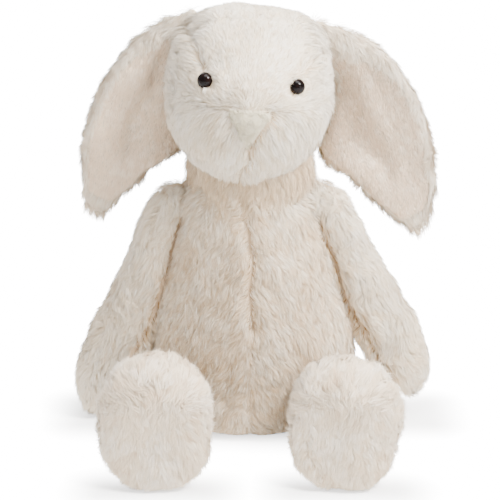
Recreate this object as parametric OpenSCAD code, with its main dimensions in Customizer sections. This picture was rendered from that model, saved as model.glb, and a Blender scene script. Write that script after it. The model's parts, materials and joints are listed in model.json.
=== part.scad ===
// Stuffed bunny rabbit that sits up, with long hanging ears, loose arms and forward-pointing feet.
// Millimetres, +Z up, the face looks along -Y, and the toy's own left side is +X.
// The origin is the centre of the flat underside that it sits on.

/* [Head] */
// Half of the head's width, over the pile's backing cloth
head_half_width = 51; // [49:0.5:52]
// Height of the head's centre above the seat
head_height = 221; // [220:0.5:224]
// Lean of the head towards the toy's own left
head_tilt = 4; // [0:0.5:5]
// Diameter of each eye's dome
eye_d = 10; // [8:0.5:11]
// Distance from the middle of the face to each eye
eye_offset = 28; // [26:0.5:30]
// Half of the nose patch's width along its top edge
nose_half_width = 12.5; // [10:0.5:14]

/* [Ears] */
// Angle of the left ear from straight down, measured on the head
left_ear_spread = 29; // [26:1:34]
// Angle of the right ear from straight down, measured on the head
right_ear_spread = 22; // [18:1:30]
// Thickness of the pile fabric on the back of an ear
ear_back_t = 4; // [3:0.5:5]
// Thickness of the short velour that lines an ear
ear_lining_t = 2; // [1.5:0.5:2.5]
// Size of the lining's outline compared with the ear's
ear_lining_scale = 0.86; // [0.8:0.01:0.92]

/* [Body] */
// Diameter of the ball of stuffing in the neck
neck_d = 31; // [26:0.5:31]
// Diameter of the pellet bag that weights the seat
bean_bag_d = 76; // [60:1:78]
// Diameter of the tail
tail_d = 34; // [28:1:38]

/* [Arms] */
// Angle of the left arm from straight down
left_arm_spread = 24; // [22:0.5:26]
// Angle of the right arm from straight down
right_arm_spread = 20; // [18:0.5:22]
// Depth of an arm compared with its width
arm_flatness = 0.88; // [0.8:0.02:1]

/* [Legs] */
// Distance from the middle of the toy to the centre of each sole
foot_offset = 57; // [55:0.5:60]
// Thickness of a sole pad at its middle
sole_t = 2.5; // [2:0.5:3]

/* [Fabric] */
// Thickness of the pile fabric that the covers are cut from
skin_t = 2; // [1.5:0.1:2]
// Room left between a cover and its stuffing
stuffing_gap = 0.5; // [0.3:0.1:0.8]

/* [Hidden] */
$fn = 48;

// Angles that leave the width of a seam between two panels
seam_angle = 0.4;
// Half of the gap at a seam that runs across the head
seam_half_gap = 0.15;
// How deep the stuffing of a cover starts from its outer face
stuffing_inset = skin_t + stuffing_gap;

// The head is drawn round its own centre. Its reach in the middle plane is listed every 30 degrees,
// starting straight down and turning through the face, the crown and the nape.
head_reach = [50, 55, 57, 52, 50, 50, 50, 50, 49, 48, 48, 49, 50];
head_step = 12;
head_first = -114;
head_last = head_first + 360;
// Angles that bound the neck opening, the chin seam and the nose
neck_opening_r = 22;
neck_opening_half_angle = 24;
nose_tip_angle = -30;
nose_top_angle = -6;
// Half width of the gusset from the top of the nose, over the crown, to the nape
gusset_half_widths = [nose_half_width, 22, 25, 26, 25, 23, 16, 0];
side_pole_angle = 89.4;
// The stuffing is dished where the neck meets it
neck_dish = 4;

// The neck turns and nods about the centre of its ball
neck_pivot_z = 160;
neck_base_z = 152;

// Eyes: angle up from the head's centre, dome height, stem and lock washer
eye_angle = 13;
eye_stem_d = 3;
eye_stem_l = 14;
eye_washer_d = 11;
eye_washer_t = 1.5;
eye_washer_depth = 9;

// Ears: root on the head, and the outline as [across, along] from the root
ear_root = [47.5, 12, 39];
ear_gap = 0.1;
ear_lining_centre = [4, 76];
ear_outline = [
    [0, -6], [9, 2], [20, 14], [29, 34], [33, 60], [31, 88], [23, 116], [9, 137],
    [-4, 139], [-13, 122], [-22, 102], [-25, 82], [-17, 60], [-9, 40], [-7, 20], [-6, 4]
];
ear_curve_steps = 3;

// Body rings from the seat to the neck: [height, half width, front reach, back reach, 0, 0]
body_rings = [
    [0.4, 48, 43, 40, 0, 0], [8, 57, 49, 47, 0, 0], [25, 63, 52, 50, 0, 0], [50, 63, 52, 50, 0, 0],
    [72, 58, 48, 46, 0, 0], [92, 51, 44, 41, 0, 0], [112, 46, 40, 37, 0, 0], [132, 41, 37, 33, 0, 0],
    [147, 36, 33, 30, 0, 0], [155, 30, 27, 26, 0, 0], [161, 22, 20, 20, 0, 0]
];
seat_half_width = 45;
seat_half_depth = 38;
seat_t = 2;
body_stuffing_base_z = 44;
body_stuffing_top_z = 151.5;
bean_bag_h = 36;
bean_bag_z = 23;
tail_centre = [0, 68, 34];

// Arm rings from the shoulder to the hand: [along, half width, depth, depth, bow outwards, 0]
shoulder = [48, 0, 146];
arm_rings = [
    for (r = [[-7, 3, 0], [2, 10, 1], [20, 14, 5], [44, 15.5, 6], [68, 17, 7], [90, 18, 7],
              [110, 18, 6], [128, 16, 4], [141, 11, 2], [148, 3, 0]])
        [r[0], r[1], r[1] * arm_flatness, r[1] * arm_flatness, r[2], 0]
];
arm_forward = 3;

// Leg rings from the hip to the foot: [along, half width, below, above, outwards, upwards]
hip = [46, -62, 30];
sole_z = 43.5;
leg_out = foot_offset - hip[0];
leg_up = sole_z - hip[2];
leg_rings = [
    [-18, 6, 6, 6, 0, 0], [-11, 16, 16, 16, 0, 0], [0, 20, 20, 20, 1, 0],
    [16, 21, 21, 22, 3, 3], [28, 24, 27, 29, 6, 7], [38, 30, 36, 37, leg_out - 2, leg_up - 2],
    [48, 33, 41, 41, leg_out, leg_up], [58, 33, 41, 41, leg_out, leg_up],
    [63, 29, 37, 37, leg_out, leg_up]
];
sole_ring = [30, 38];
sole_y = hip[1] - 63.3;

// Colours of the pile, the smooth lining, the stuffing and the small hard pieces
pile = "#e8ded3";
face_pile = "#efebe5";
lining = "#d3c5b6";
sole_pile = "#e9e2d9";
wadding = "#f7f7f4";
eye_black = "#17100e";

// Smooth curve through evenly spaced values, for s from 0 to 1
function smooth(values, s) =
    let (n = len(values) - 1, i = min(floor(s * n), n - 1))
    blend(values[max(i - 1, 0)], values[i], values[i + 1], values[min(i + 2, n)], s * n - i);

// Smooth closed curve through points, each stretch cut into a number of steps
function smooth_loop(points, steps) =
    let (n = len(points))
    [for (i = [0 : n - 1], k = [0 : steps - 1])
        blend(points[(i + n - 1) % n], points[i], points[(i + 1) % n], points[(i + 2) % n], k / steps)];

// Cubic curve from b to c that also heeds its neighbours a and d
function blend(a, b, c, d, t) =
    0.5 * (2 * b + (c - a) * t + (2 * a - 5 * b + 4 * c - d) * t * t
        + (3 * b - a - 3 * c + d) * t * t * t);

// Point on a ring [along, half width, front, back, x, y] at an angle from the front
function ring_point(ring, angle, inset) =
    let (reach = cos(angle) > 0 ? ring[2] : ring[3])
    [ring[4] + (ring[1] - inset) * sin(angle), ring[5] - (reach - inset) * cos(angle), ring[0]];

// Two triangles for a four-cornered face, turned over where flip is true
function quad(a, b, c, d, flip) = flip ? [[a, c, b], [a, d, c]] : [[a, b, c], [a, c, d]];

// Reach of the head in its middle plane at an angle up from straight ahead
function head_r(angle, inset) = smooth(head_reach, (angle + 90 + (angle < -90 ? 360 : 0)) / 360) - inset;

// Point on the head: angle about the head's X axis, and distance x from the middle plane
function head_point(angle, x, inset) =
    let (side = min(abs(x) / (head_half_width - inset), 1))
    let (r = head_r(angle, inset) * sqrt(1 - pow(side, 3)))
    [x, -2 - r * cos(angle), r * sin(angle)];

// Half width that the cheek panels leave open at an angle: neck opening, chin seam, nose and gusset
function open_half_width(angle) =
    let (neck = (angle + 90) / neck_opening_half_angle)
    abs(neck) < 1 ? neck_opening_r * sqrt(1 - neck * neck)
    : angle < nose_tip_angle ? 0
    : angle < nose_top_angle
        ? nose_half_width * (angle - nose_tip_angle) / (nose_top_angle - nose_tip_angle)
    : max(smooth(gusset_half_widths, (angle - nose_top_angle) / (head_last - nose_top_angle)), 0);

// Sheet with thickness between an outer and an inner grid of points
module sheet(outer, inner, wrap = false, flip = false) {
    rows = len(outer);
    cols = len(outer[0]);
    layer = rows * cols;
    points = [for (grid = [outer, inner]) for (row = grid) for (p = row) p];
    last = wrap ? rows - 1 : rows - 2;
    faces = [
        for (i = [0 : last])
            let (a = i * cols, b = ((i + 1) % rows) * cols)
            each [
                for (j = [0 : cols - 2]) each quad(a + j, a + j + 1, b + j + 1, b + j, flip),
                for (j = [0 : cols - 2])
                    each quad(layer + a + j, layer + a + j + 1, layer + b + j + 1, layer + b + j, !flip),
                each quad(a, b, layer + b, layer + a, flip),
                each quad(a + cols - 1, b + cols - 1, layer + b + cols - 1, layer + a + cols - 1, !flip)
            ],
        if (!wrap)
            for (j = [0 : cols - 2], end = [0, rows - 1])
                let (k = end * cols + j)
                each quad(k, k + 1, layer + k + 1, layer + k, end == 0 ? !flip : flip)
    ];
    polyhedron(points, faces, convexity = 6);
}

// Closed solid through rows of looped points, with a flat cap at each end; each row turns
// anticlockwise when seen from the last row's end
module blob(rows) {
    count = len(rows);
    n = len(rows[0]);
    points = [for (row = rows) for (p = row) p];
    faces = [
        [for (j = [0 : n - 1]) j],
        [for (j = [n - 1 : -1 : 0]) (count - 1) * n + j],
        for (i = [0 : count - 2], j = [0 : n - 1])
            let (k = (j + 1) % n)
            each quad(i * n + j, i * n + k, (i + 1) * n + k, (i + 1) * n + j, true)
    ];
    polyhedron(points, faces, convexity = 4);
}

// Cover panel over part of a ringed shape, between two angles
module panel(rings, from, to, rows, cols) {
    grids = [for (inset = [0, skin_t])
        [for (i = [0 : rows])
            [for (j = [0 : cols])
                ring_point(smooth(rings, i / rows),
                    from + seam_angle + (to - from - 2 * seam_angle) * j / cols, inset)]]];
    sheet(grids[0], grids[1], flip = true);
}

// Stuffing of a ringed shape between two fractions of its length
module ringed_stuffing(rings, start, end, rows, cols) {
    blob([for (i = [0 : rows])
        [for (j = [0 : cols - 1])
            ring_point(smooth(rings, start + (end - start) * i / rows), 360 * j / cols, stuffing_inset)]]);
}

// Puts a piece on the right of the toy when side is -1
module on_side(side) {
    mirror([side < 0 ? 1 : 0, 0, 0]) children();
}

// Moves a piece drawn round the head's centre to its place
module on_head() {
    translate([0, 0, head_height]) rotate([0, head_tilt, 0]) children();
}

// Strip down the middle of the head over a list of angles, left short of its seams by a gap
module centre_strip(angles, gap) {
    cols = 4;
    grids = [for (inset = [0, skin_t])
        [for (a = angles) [for (j = [-cols : 2 : cols])
            head_point(a, j / cols * (open_half_width(a) - gap), inset)]]];
    on_head() sheet(grids[0], grids[1], flip = true);
}

module head_gusset() {
    color(face_pile)
        centre_strip([nose_top_angle : head_step : head_last - head_step], seam_half_gap);
}

// One grid of a cheek panel, from the seam out to the side of the head
function cheek_grid(inset) =
    let (cols = 6)
    [for (a = [head_first : head_step : head_last - head_step])
        let (first = asin(pow((open_half_width(a) + seam_half_gap) / (head_half_width - inset), 1.5)))
        [for (j = [0 : cols])
            head_point(a, (head_half_width - inset)
                * pow(sin(first + (side_pole_angle - first) * j / cols), 2 / 3), inset)]];

module cheek_panel(side) {
    color(face_pile) on_head() on_side(side)
        sheet(cheek_grid(0), cheek_grid(skin_t), wrap = true, flip = true);
}
module left_cheek_panel() cheek_panel(1);
module right_cheek_panel() cheek_panel(-1);

module nose_patch() {
    color(lining)
        centre_strip([nose_tip_angle + 1, nose_tip_angle + head_step, nose_top_angle - 0.3], seam_half_gap / 2);
}

module head_stuffing() {
    half = head_half_width - stuffing_inset;
    poles = [3, 18, 36, 54, 72, 90, 108, 126, 144, 162, 177];
    color(wadding) on_head()
        blob([for (p = poles)
            let (x = sign(cos(p)) * half * pow(abs(cos(p)), 2 / 3))
            [for (a = [0 : head_step * 1.5 : 359])
                let (dish = neck_dish * pow(max(0, -sin(a)), 6) * pow(sin(p), 4))
                let (r = (head_r(a > 270 ? a - 360 : a, stuffing_inset) - dish) * sin(p))
                [x, -2 - r * cos(a), r * sin(a)]]]);
}

// Frame at an eye: its own Z points out of the face
module at_eye(side) {
    centre = head_point(eye_angle, eye_offset, 0);
    on_head() on_side(side) translate(centre) rotate([90 - eye_angle, 0, 0]) rotate([0, 22, 0]) children();
}

module eye(side) {
    color(eye_black) at_eye(side) {
        intersection() {
            translate([0, 0, -eye_d * 0.1]) sphere(d = eye_d);
            cylinder(h = eye_d, d = eye_d);
        }
        translate([0, 0, -eye_stem_l]) cylinder(h = eye_stem_l + 0.5, d = eye_stem_d);
    }
}
module left_eye() eye(1);
module right_eye() eye(-1);

module eye_washer(side) {
    color("white") at_eye(side) translate([0, 0, -eye_washer_depth])
        difference() {
            cylinder(h = eye_washer_t, d = eye_washer_d);
            translate([0, 0, -1]) cylinder(h = eye_washer_t + 2, d = eye_stem_d + 0.1);
        }
}
module left_eye_washer() eye_washer(1);
module right_eye_washer() eye_washer(-1);

// Frame at an ear's root: X across the ear, Y along it, Z towards the face
module at_ear(side, spread) {
    on_head() on_side(side) translate(ear_root) rotate([0, -spread, 0]) rotate([-90, 0, 0])
        mirror([0, 0, 1]) children();
}

module ear_back(side, spread) {
    color(pile) at_ear(side, spread)
        linear_extrude(height = ear_back_t) polygon(smooth_loop(ear_outline, ear_curve_steps));
}

module ear_lining(side, spread) {
    color(lining) at_ear(side, spread) translate([0, 0, ear_back_t + ear_gap])
        translate(ear_lining_centre) scale(ear_lining_scale) translate(-ear_lining_centre)
            linear_extrude(height = ear_lining_t) polygon(smooth_loop(ear_outline, ear_curve_steps));
}
module left_ear_back() ear_back(1, left_ear_spread);
module left_ear_lining() ear_lining(1, left_ear_spread);
module right_ear_back() ear_back(-1, right_ear_spread);
module right_ear_lining() ear_lining(-1, right_ear_spread);

module neck_stuffing() {
    color(wadding)
        intersection() {
            translate([0, 0, neck_pivot_z]) sphere(d = neck_d);
            translate([0, 0, neck_base_z]) cylinder(h = neck_d, d = neck_d);
        }
}

module body_panel(from, to) {
    color(pile) panel(body_rings, from, to, 14, 6);
}
module body_front_left() body_panel(0, 90);
module body_front_right() body_panel(270, 360);
module body_back_left() body_panel(90, 180);
module body_back_right() body_panel(180, 270);

module seat_panel() {
    color(pile)
        linear_extrude(height = seat_t)
            polygon([for (a = [0 : 10 : 359]) [seat_half_width * cos(a), seat_half_depth * sin(a)]]);
}

module body_stuffing() {
    low = 0.27;
    high = 0.83;
    color(wadding) ringed_stuffing(body_rings, low, high, 8, 24);
}

module pellet_bag() {
    half_h = bean_bag_h / 2;
    color("tan") translate([0, 0, bean_bag_z])
        rotate_extrude()
            polygon([for (a = [-90 : 15 : 90]) [bean_bag_d / 2 * cos(a), half_h * sin(a)]]);
}

module tail_cover() {
    color(pile) translate(tail_centre)
        difference() {
            sphere(d = tail_d);
            sphere(d = tail_d - 2 * skin_t);
        }
}

module tail_stuffing() {
    color(wadding) translate(tail_centre) sphere(d = tail_d - 2 * stuffing_inset);
}

// Frame at a shoulder: its own Z runs down the arm, X points away from the body
module at_shoulder(side, spread) {
    on_side(side) translate(shoulder) rotate([arm_forward, 180 - spread, 0]) mirror([1, 0, 0]) children();
}

module arm_panel(side, spread, from, to) {
    color(pile) at_shoulder(side, spread) panel(arm_rings, from, to, 12, 8);
}
module arm_stuffing(side, spread) {
    color(wadding) at_shoulder(side, spread) ringed_stuffing(arm_rings, 1 / 12, 11 / 12, 10, 16);
}
module left_arm_outer() arm_panel(1, left_arm_spread, 0, 180);
module left_arm_inner() arm_panel(1, left_arm_spread, 180, 360);
module left_arm_stuffing() arm_stuffing(1, left_arm_spread);
module right_arm_outer() arm_panel(-1, right_arm_spread, 0, 180);
module right_arm_inner() arm_panel(-1, right_arm_spread, 180, 360);
module right_arm_stuffing() arm_stuffing(-1, right_arm_spread);

// Frame at a hip: its own Z runs forward along the leg and Y points up
module at_hip(side) {
    on_side(side) translate(hip) rotate([90, 0, 0]) children();
}

module leg_panel(side, from, to) {
    color(pile) at_hip(side) panel(leg_rings, from, to, 12, 8);
}
module leg_stuffing(side) {
    color(wadding) at_hip(side) ringed_stuffing(leg_rings, 1 / 12, 11 / 12, 10, 16);
}
module left_leg_outer() leg_panel(1, 0, 180);
module left_leg_inner() leg_panel(1, 180, 360);
module left_leg_stuffing() leg_stuffing(1);
module right_leg_outer() leg_panel(-1, 0, 180);
module right_leg_inner() leg_panel(-1, 180, 360);
module right_leg_stuffing() leg_stuffing(-1);

// Oval pad, flat behind and softly domed in front
module sole_pad(side) {
    steps = [[0, 1], [0.3, 0.97], [0.7, 0.85], [1, 0.55]];
    color(sole_pile) on_side(side) translate([foot_offset, sole_y, sole_z]) rotate([90, 0, 0])
        blob([for (s = steps) [for (a = [0 : 15 : 359])
            [sole_ring[0] * s[1] * cos(a), sole_ring[1] * s[1] * sin(a), sole_t * s[0]]]]);
}
module left_sole_pad() sole_pad(1);
module right_sole_pad() sole_pad(-1);

head_gusset();
left_cheek_panel();
right_cheek_panel();
nose_patch();
head_stuffing();
left_eye();
right_eye();
left_eye_washer();
right_eye_washer();
left_ear_back();
left_ear_lining();
right_ear_back();
right_ear_lining();
neck_stuffing();
body_front_left();
body_front_right();
body_back_left();
body_back_right();
seat_panel();
body_stuffing();
pellet_bag();
tail_cover();
tail_stuffing();
left_arm_outer();
left_arm_inner();
left_arm_stuffing();
right_arm_outer();
right_arm_inner();
right_arm_stuffing();
left_leg_outer();
left_leg_inner();
left_sole_pad();
left_leg_stuffing();
right_leg_outer();
right_leg_inner();
right_sole_pad();
right_leg_stuffing();
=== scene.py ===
import json
import math
from dataclasses import dataclass
from itertools import product

import bmesh
import bpy
import numpy as np
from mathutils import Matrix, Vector
from mathutils.bvhtree import BVHTree


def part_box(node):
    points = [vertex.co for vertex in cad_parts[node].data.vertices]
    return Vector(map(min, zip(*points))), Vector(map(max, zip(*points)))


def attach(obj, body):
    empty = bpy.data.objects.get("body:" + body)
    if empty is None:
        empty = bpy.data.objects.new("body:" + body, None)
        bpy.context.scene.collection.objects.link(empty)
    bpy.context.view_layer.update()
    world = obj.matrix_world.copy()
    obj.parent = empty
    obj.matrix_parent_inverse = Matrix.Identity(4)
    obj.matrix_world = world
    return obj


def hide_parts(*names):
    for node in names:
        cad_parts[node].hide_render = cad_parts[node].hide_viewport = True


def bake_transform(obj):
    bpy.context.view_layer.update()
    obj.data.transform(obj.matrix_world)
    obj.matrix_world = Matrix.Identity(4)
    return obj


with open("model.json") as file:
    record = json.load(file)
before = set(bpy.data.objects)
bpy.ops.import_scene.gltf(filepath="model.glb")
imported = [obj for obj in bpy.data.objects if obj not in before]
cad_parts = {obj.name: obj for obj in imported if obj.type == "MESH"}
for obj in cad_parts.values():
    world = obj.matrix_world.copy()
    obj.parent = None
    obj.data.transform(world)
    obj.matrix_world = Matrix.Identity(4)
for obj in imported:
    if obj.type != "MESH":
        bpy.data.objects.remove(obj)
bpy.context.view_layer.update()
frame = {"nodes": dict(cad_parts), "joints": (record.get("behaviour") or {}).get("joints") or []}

# A sitting plush rabbit, in metres, facing -Y. Each skin is made from its CAD panels and shaped. Head,
# torso, ears and limbs are first puffed by a short cloth simulation. Hair blades grow from the skins.

MM = 0.001
FRONT, BACK = -1, 1
SIDES = ("left", "right")
NODES = frame["nodes"]
JOINTS = {j["name"]: j for j in frame["joints"]}

# Colours, as linear values. A pile mixes its tints clump by clump.
FACE_TINTS = [(0.79, 0.645, 0.46), (0.86, 0.74, 0.57), (0.90, 0.80, 0.65), (0.94, 0.87, 0.76)]
BODY_TINTS = [(0.75, 0.55, 0.335), (0.84, 0.66, 0.455), (0.90, 0.755, 0.57), (0.94, 0.83, 0.68)]
SOLE_TINTS = [(0.76, 0.58, 0.40), (0.84, 0.69, 0.51), (0.88, 0.745, 0.58), (0.93, 0.83, 0.70)]
EAR_TINTS = [(0.88, 0.76, 0.60), (0.85, 0.71, 0.54), (0.91, 0.81, 0.67), (0.81, 0.66, 0.48)]
ARM_TINTS = [(0.82, 0.64, 0.43), (0.90, 0.755, 0.565), (0.93, 0.815, 0.65), (0.96, 0.875, 0.745)]
# The collar's tints are darker and browner than the body's: painted shadow of the head on the neck.
COLLAR_SHADOWED_TINTS = [(0.68, 0.49, 0.29), (0.78, 0.59, 0.38), (0.84, 0.67, 0.47)]
# The lining's tints are darker and browner than the ear's pile: painted shade of the ear's hollow.
LINING_SHADED_TINTS = [(0.83, 0.66, 0.49), (0.79, 0.605, 0.43), (0.87, 0.715, 0.555)]
NOSE_TINTS = [(0.78, 0.705, 0.53), (0.73, 0.65, 0.465)]
# Blades by a seam: a golden tint that is painted crease shade, and a brown that is the thread with painted
# crease shade.
SEAM_SHADE_AND_THREAD_TINTS = [(0.76, 0.55, 0.31), (0.34, 0.20, 0.095)]
BACKING = (0.80, 0.66, 0.49)
BACKING_DARK = (0.68, 0.535, 0.375)
# The backing's brown by seams: the thread's colour with painted crease shade.
SEAM_THREAD_AND_SHADE_BROWN = (0.42, 0.26, 0.135)
# The lining velour, darker than the backing: painted shade of the ear's hollow.
LINING = (0.62, 0.50, 0.38)
LINING_DARK = (0.52, 0.40, 0.29)
NOSE = (0.70, 0.62, 0.45)
NOSE_DARK = (0.62, 0.53, 0.37)
EYE_BROWN = (0.012, 0.005, 0.004)
EYE_BLACK = (0.002, 0.0015, 0.0015)
WASHER = (0.86, 0.86, 0.84)
WASHER_DARK = (0.78, 0.78, 0.76)
WADDING = (0.92, 0.92, 0.90)
WADDING_DARK = (0.80, 0.80, 0.78)
PELLET_CLOTH = (0.66, 0.61, 0.52)
PELLET_CLOTH_DARK = (0.55, 0.50, 0.42)

# How many blades each pile has
BODY_BLADES = 82000
COLLAR_BLADES = 18000
FACE_BLADES = 84000
NAPE_BLADES = 60000
NOSE_BLADES = 7000
EAR_BLADES = 46000
LINING_BLADES = 24000
ARM_BLADES = 62000
SOLE_BLADES = 34000
LEG_BLADES = 58000
TAIL_BLADES = 12000


# ---- materials

def new_material(name):
    material = bpy.data.materials.new(name)
    material.use_nodes = True
    return material, material.node_tree.nodes, material.node_tree.links


def set_inputs(node, values):
    for key, value in values.items():
        socket = node.inputs[key]
        socket.default_value = (*value, 1.0) if isinstance(value, tuple) else value


def add_node(nodes, kind, values=None):
    node = nodes.new(kind)
    set_inputs(node, values or {})
    return node


def pile_material(name, tint):
    """One tint of the pile: matt, with the soft sheen of combed fibre."""
    material, nodes, links = new_material(name)
    set_inputs(nodes["Principled BSDF"], {
        "Base Color": tint, "Roughness": 0.85, "Specular IOR Level": 0.15,
        "Sheen Weight": 0.3, "Sheen Roughness": 0.5, "Sheen Tint": (1.0, 0.96, 0.90),
    })
    return material


def tinted_pile(name, tints):
    return [pile_material(f"{name}_{i}", tint) for i, tint in enumerate(tints)]


def two_tone(nodes, links, shader, height, dark, light, low, high):
    """Colours the shader from dark to light as the height value runs from low to high."""
    ramp = nodes.new("ShaderNodeValToRGB")
    ramp.color_ramp.elements[0].position = low
    ramp.color_ramp.elements[0].color = (*dark, 1.0)
    ramp.color_ramp.elements[1].position = high
    ramp.color_ramp.elements[1].color = (*light, 1.0)
    links.new(height, ramp.inputs["Fac"])
    links.new(ramp.outputs["Color"], shader.inputs["Base Color"])


def cloth_material(name, dark, light, scale, depth, stretch=(1, 1, 1), roughness=0.9):
    """Cloth or velour: noise stretched along one direction for the nap, and a fine grain in the bump."""
    material, nodes, links = new_material(name)
    shader = nodes["Principled BSDF"]
    set_inputs(shader, {
        "Roughness": roughness, "Specular IOR Level": 0.15,
        "Sheen Weight": 0.35, "Sheen Roughness": 0.45, "Sheen Tint": (1.0, 0.96, 0.91),
    })
    place = nodes.new("ShaderNodeTexCoord")
    mapping = add_node(nodes, "ShaderNodeMapping")
    mapping.inputs["Scale"].default_value = stretch
    links.new(place.outputs["Object"], mapping.inputs["Vector"])
    nap = add_node(nodes, "ShaderNodeTexNoise", {"Scale": scale, "Detail": 6.0, "Roughness": 0.65})
    links.new(mapping.outputs["Vector"], nap.inputs["Vector"])
    two_tone(nodes, links, shader, nap.outputs["Fac"], dark, light, 0.3, 0.7)
    bump = add_node(nodes, "ShaderNodeBump", {"Strength": 0.6, "Distance": depth})
    links.new(nap.outputs["Fac"], bump.inputs["Height"])
    links.new(bump.outputs["Normal"], shader.inputs["Normal"])
    return material


def backing_material():
    """Knitted backing under the pile: cream, and browner near a seam, a brown that is the thread's colour and
    painted crease shade.
    """
    material = cloth_material("backing_cloth", BACKING_DARK, BACKING, scale=700.0, depth=0.0004)
    nodes, links = material.node_tree.nodes, material.node_tree.links
    ramp = next(node for node in nodes if node.type == "VALTORGB")
    # The seam attribute mixes in the brown of the thread with painted crease shade.
    near = nodes.new("ShaderNodeAttribute")
    near.attribute_name = "seam"
    mix = nodes.new("ShaderNodeMix")
    mix.data_type = "RGBA"
    colour_in = [socket for socket in mix.inputs if socket.type == "RGBA"]
    colour_in[1].default_value = (*SEAM_THREAD_AND_SHADE_BROWN, 1.0)
    links.new(ramp.outputs["Color"], colour_in[0])
    links.new(near.outputs["Fac"], mix.inputs["Factor"])
    result = [socket for socket in mix.outputs if socket.type == "RGBA"][0]
    links.new(result, nodes["Principled BSDF"].inputs["Base Color"])
    return material


def eye_material():
    """Black-brown moulded plastic under a clear gloss."""
    material, nodes, links = new_material("eye_gloss")
    shader = nodes["Principled BSDF"]
    set_inputs(shader, {"Roughness": 0.08, "Specular IOR Level": 0.12})
    place = nodes.new("ShaderNodeTexCoord")
    swirl = add_node(nodes, "ShaderNodeTexNoise", {"Scale": 350.0, "Detail": 3.0})
    links.new(place.outputs["Object"], swirl.inputs["Vector"])
    two_tone(nodes, links, shader, swirl.outputs["Fac"], EYE_BLACK, EYE_BROWN, 0.35, 0.75)
    return material


def plastic_material():
    """Milky moulded plastic of the lock washers."""
    return cloth_material("washer_plastic", WASHER_DARK, WASHER, scale=500.0, depth=0.0001, roughness=0.45)


# ---- mesh tools

def new_object(name, mesh):
    obj = bpy.data.objects.new(name, mesh)
    bpy.context.scene.collection.objects.link(obj)
    return obj


def joined_copy(name, nodes):
    """A new object holding copies of some CAD nodes' meshes."""
    mesh = bpy.data.meshes.new(name)
    work = bmesh.new()
    for node in nodes:
        work.from_mesh(NODES[node].data)
    bmesh.ops.remove_doubles(work, verts=work.verts, dist=1e-6)
    work.to_mesh(mesh)
    work.free()
    return new_object(name, mesh)


def apply_modifiers(obj):
    graph = bpy.context.evaluated_depsgraph_get()
    mesh = bpy.data.meshes.new_from_object(obj.evaluated_get(graph))
    obj.modifiers.clear()
    old = obj.data
    obj.data = mesh
    bpy.data.meshes.remove(old)


def modify(obj, kind, **settings):
    """Adds a modifier and applies it at once."""
    modifier = obj.modifiers.new(kind.lower(), kind)
    for key, value in settings.items():
        setattr(modifier, key, value)
    apply_modifiers(obj)


def keep_largest_shell(obj):
    """Drops the inner shells that the gap between cover and stuffing leaves behind."""
    work = bmesh.new()
    work.from_mesh(obj.data)
    unseen = set(work.verts)
    shells = []
    while unseen:
        stack = [unseen.pop()]
        shell = set(stack)
        while stack:
            for edge in stack.pop().link_edges:
                for vert in edge.verts:
                    if vert in unseen:
                        unseen.remove(vert)
                        shell.add(vert)
                        stack.append(vert)
        shells.append(shell)
    shells.sort(key=len)
    bmesh.ops.delete(work, geom=[v for shell in shells[:-1] for v in shell], context="VERTS")
    work.to_mesh(obj.data)
    work.free()


def rows(items, field, width, kind=float):
    flat = np.empty(len(items) * width, dtype=kind)
    items.foreach_get(field, flat)
    return flat.reshape(-1, width)


def coordinates(obj):
    return rows(obj.data.vertices, "co", 3)


def vertex_normals(obj):
    return rows(obj.data.vertex_normals, "vector", 3)


def move_to(obj, points):
    obj.data.vertices.foreach_set("co", np.asarray(points, float).ravel())
    obj.data.update()


def triangles(obj):
    obj.data.calc_loop_triangles()
    return rows(obj.data.loop_triangles, "vertices", 3, np.int64)


def unit(vectors):
    return vectors / np.maximum(np.linalg.norm(vectors, axis=-1, keepdims=True), 1e-12)


def puff(obj, pressure, cap, frames=20):
    """Puffs a closed skin out by a short cloth simulation, no point moving further than the cap."""
    before = coordinates(obj)
    modifier = obj.modifiers.new("cloth", "CLOTH")
    settings = modifier.settings
    settings.quality = 6
    settings.mass = 0.2
    settings.tension_stiffness = 12
    settings.compression_stiffness = 12
    settings.shear_stiffness = 6
    settings.bending_stiffness = 0.6
    settings.use_pressure = True
    settings.uniform_pressure_force = pressure
    settings.effector_weights.gravity = 0
    modifier.collision_settings.use_collision = False
    modifier.point_cache.frame_start = 1
    modifier.point_cache.frame_end = frames
    for step in range(1, frames + 1):
        bpy.context.scene.frame_set(step)
    apply_modifiers(obj)
    bpy.context.scene.frame_set(1)
    moved = coordinates(obj) - before
    far = np.linalg.norm(moved, axis=1, keepdims=True)
    move_to(obj, before + moved * np.minimum(1, cap / np.maximum(far, 1e-9)))


def waves(points, size, seed):
    """Smooth random values from about -1 to 1, with bumps of about the given size."""
    rng = np.random.default_rng(seed)
    total = np.zeros(len(points))
    for _ in range(7):
        direction = unit(rng.normal(size=3))
        pitch = size * rng.uniform(0.7, 1.6)
        total += np.sin(points @ direction * 2 * math.pi / pitch + rng.uniform(0, 2 * math.pi))
    return total / 3.0


def wave_vectors(points, size, seed):
    return np.stack([waves(points, size, seed + k) for k in range(3)], axis=1)


def falloff(distance, width):
    return np.exp(-((distance / width) ** 2))


def stuffed_skin(name, nodes, voxel, cap, smooth=6, pressure=4.0):
    """A stuffed cover: the CAD panels remeshed as one skin, smoothed, and puffed unless the cap is 0."""
    obj = joined_copy(name, nodes)
    modify(obj, "REMESH", mode="VOXEL", voxel_size=voxel)
    keep_largest_shell(obj)
    modify(obj, "SMOOTH", factor=0.5, iterations=smooth)
    if cap:
        puff(obj, pressure, cap)
    modify(obj, "SUBSURF", levels=1, render_levels=1)
    return obj


# ---- seams

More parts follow.
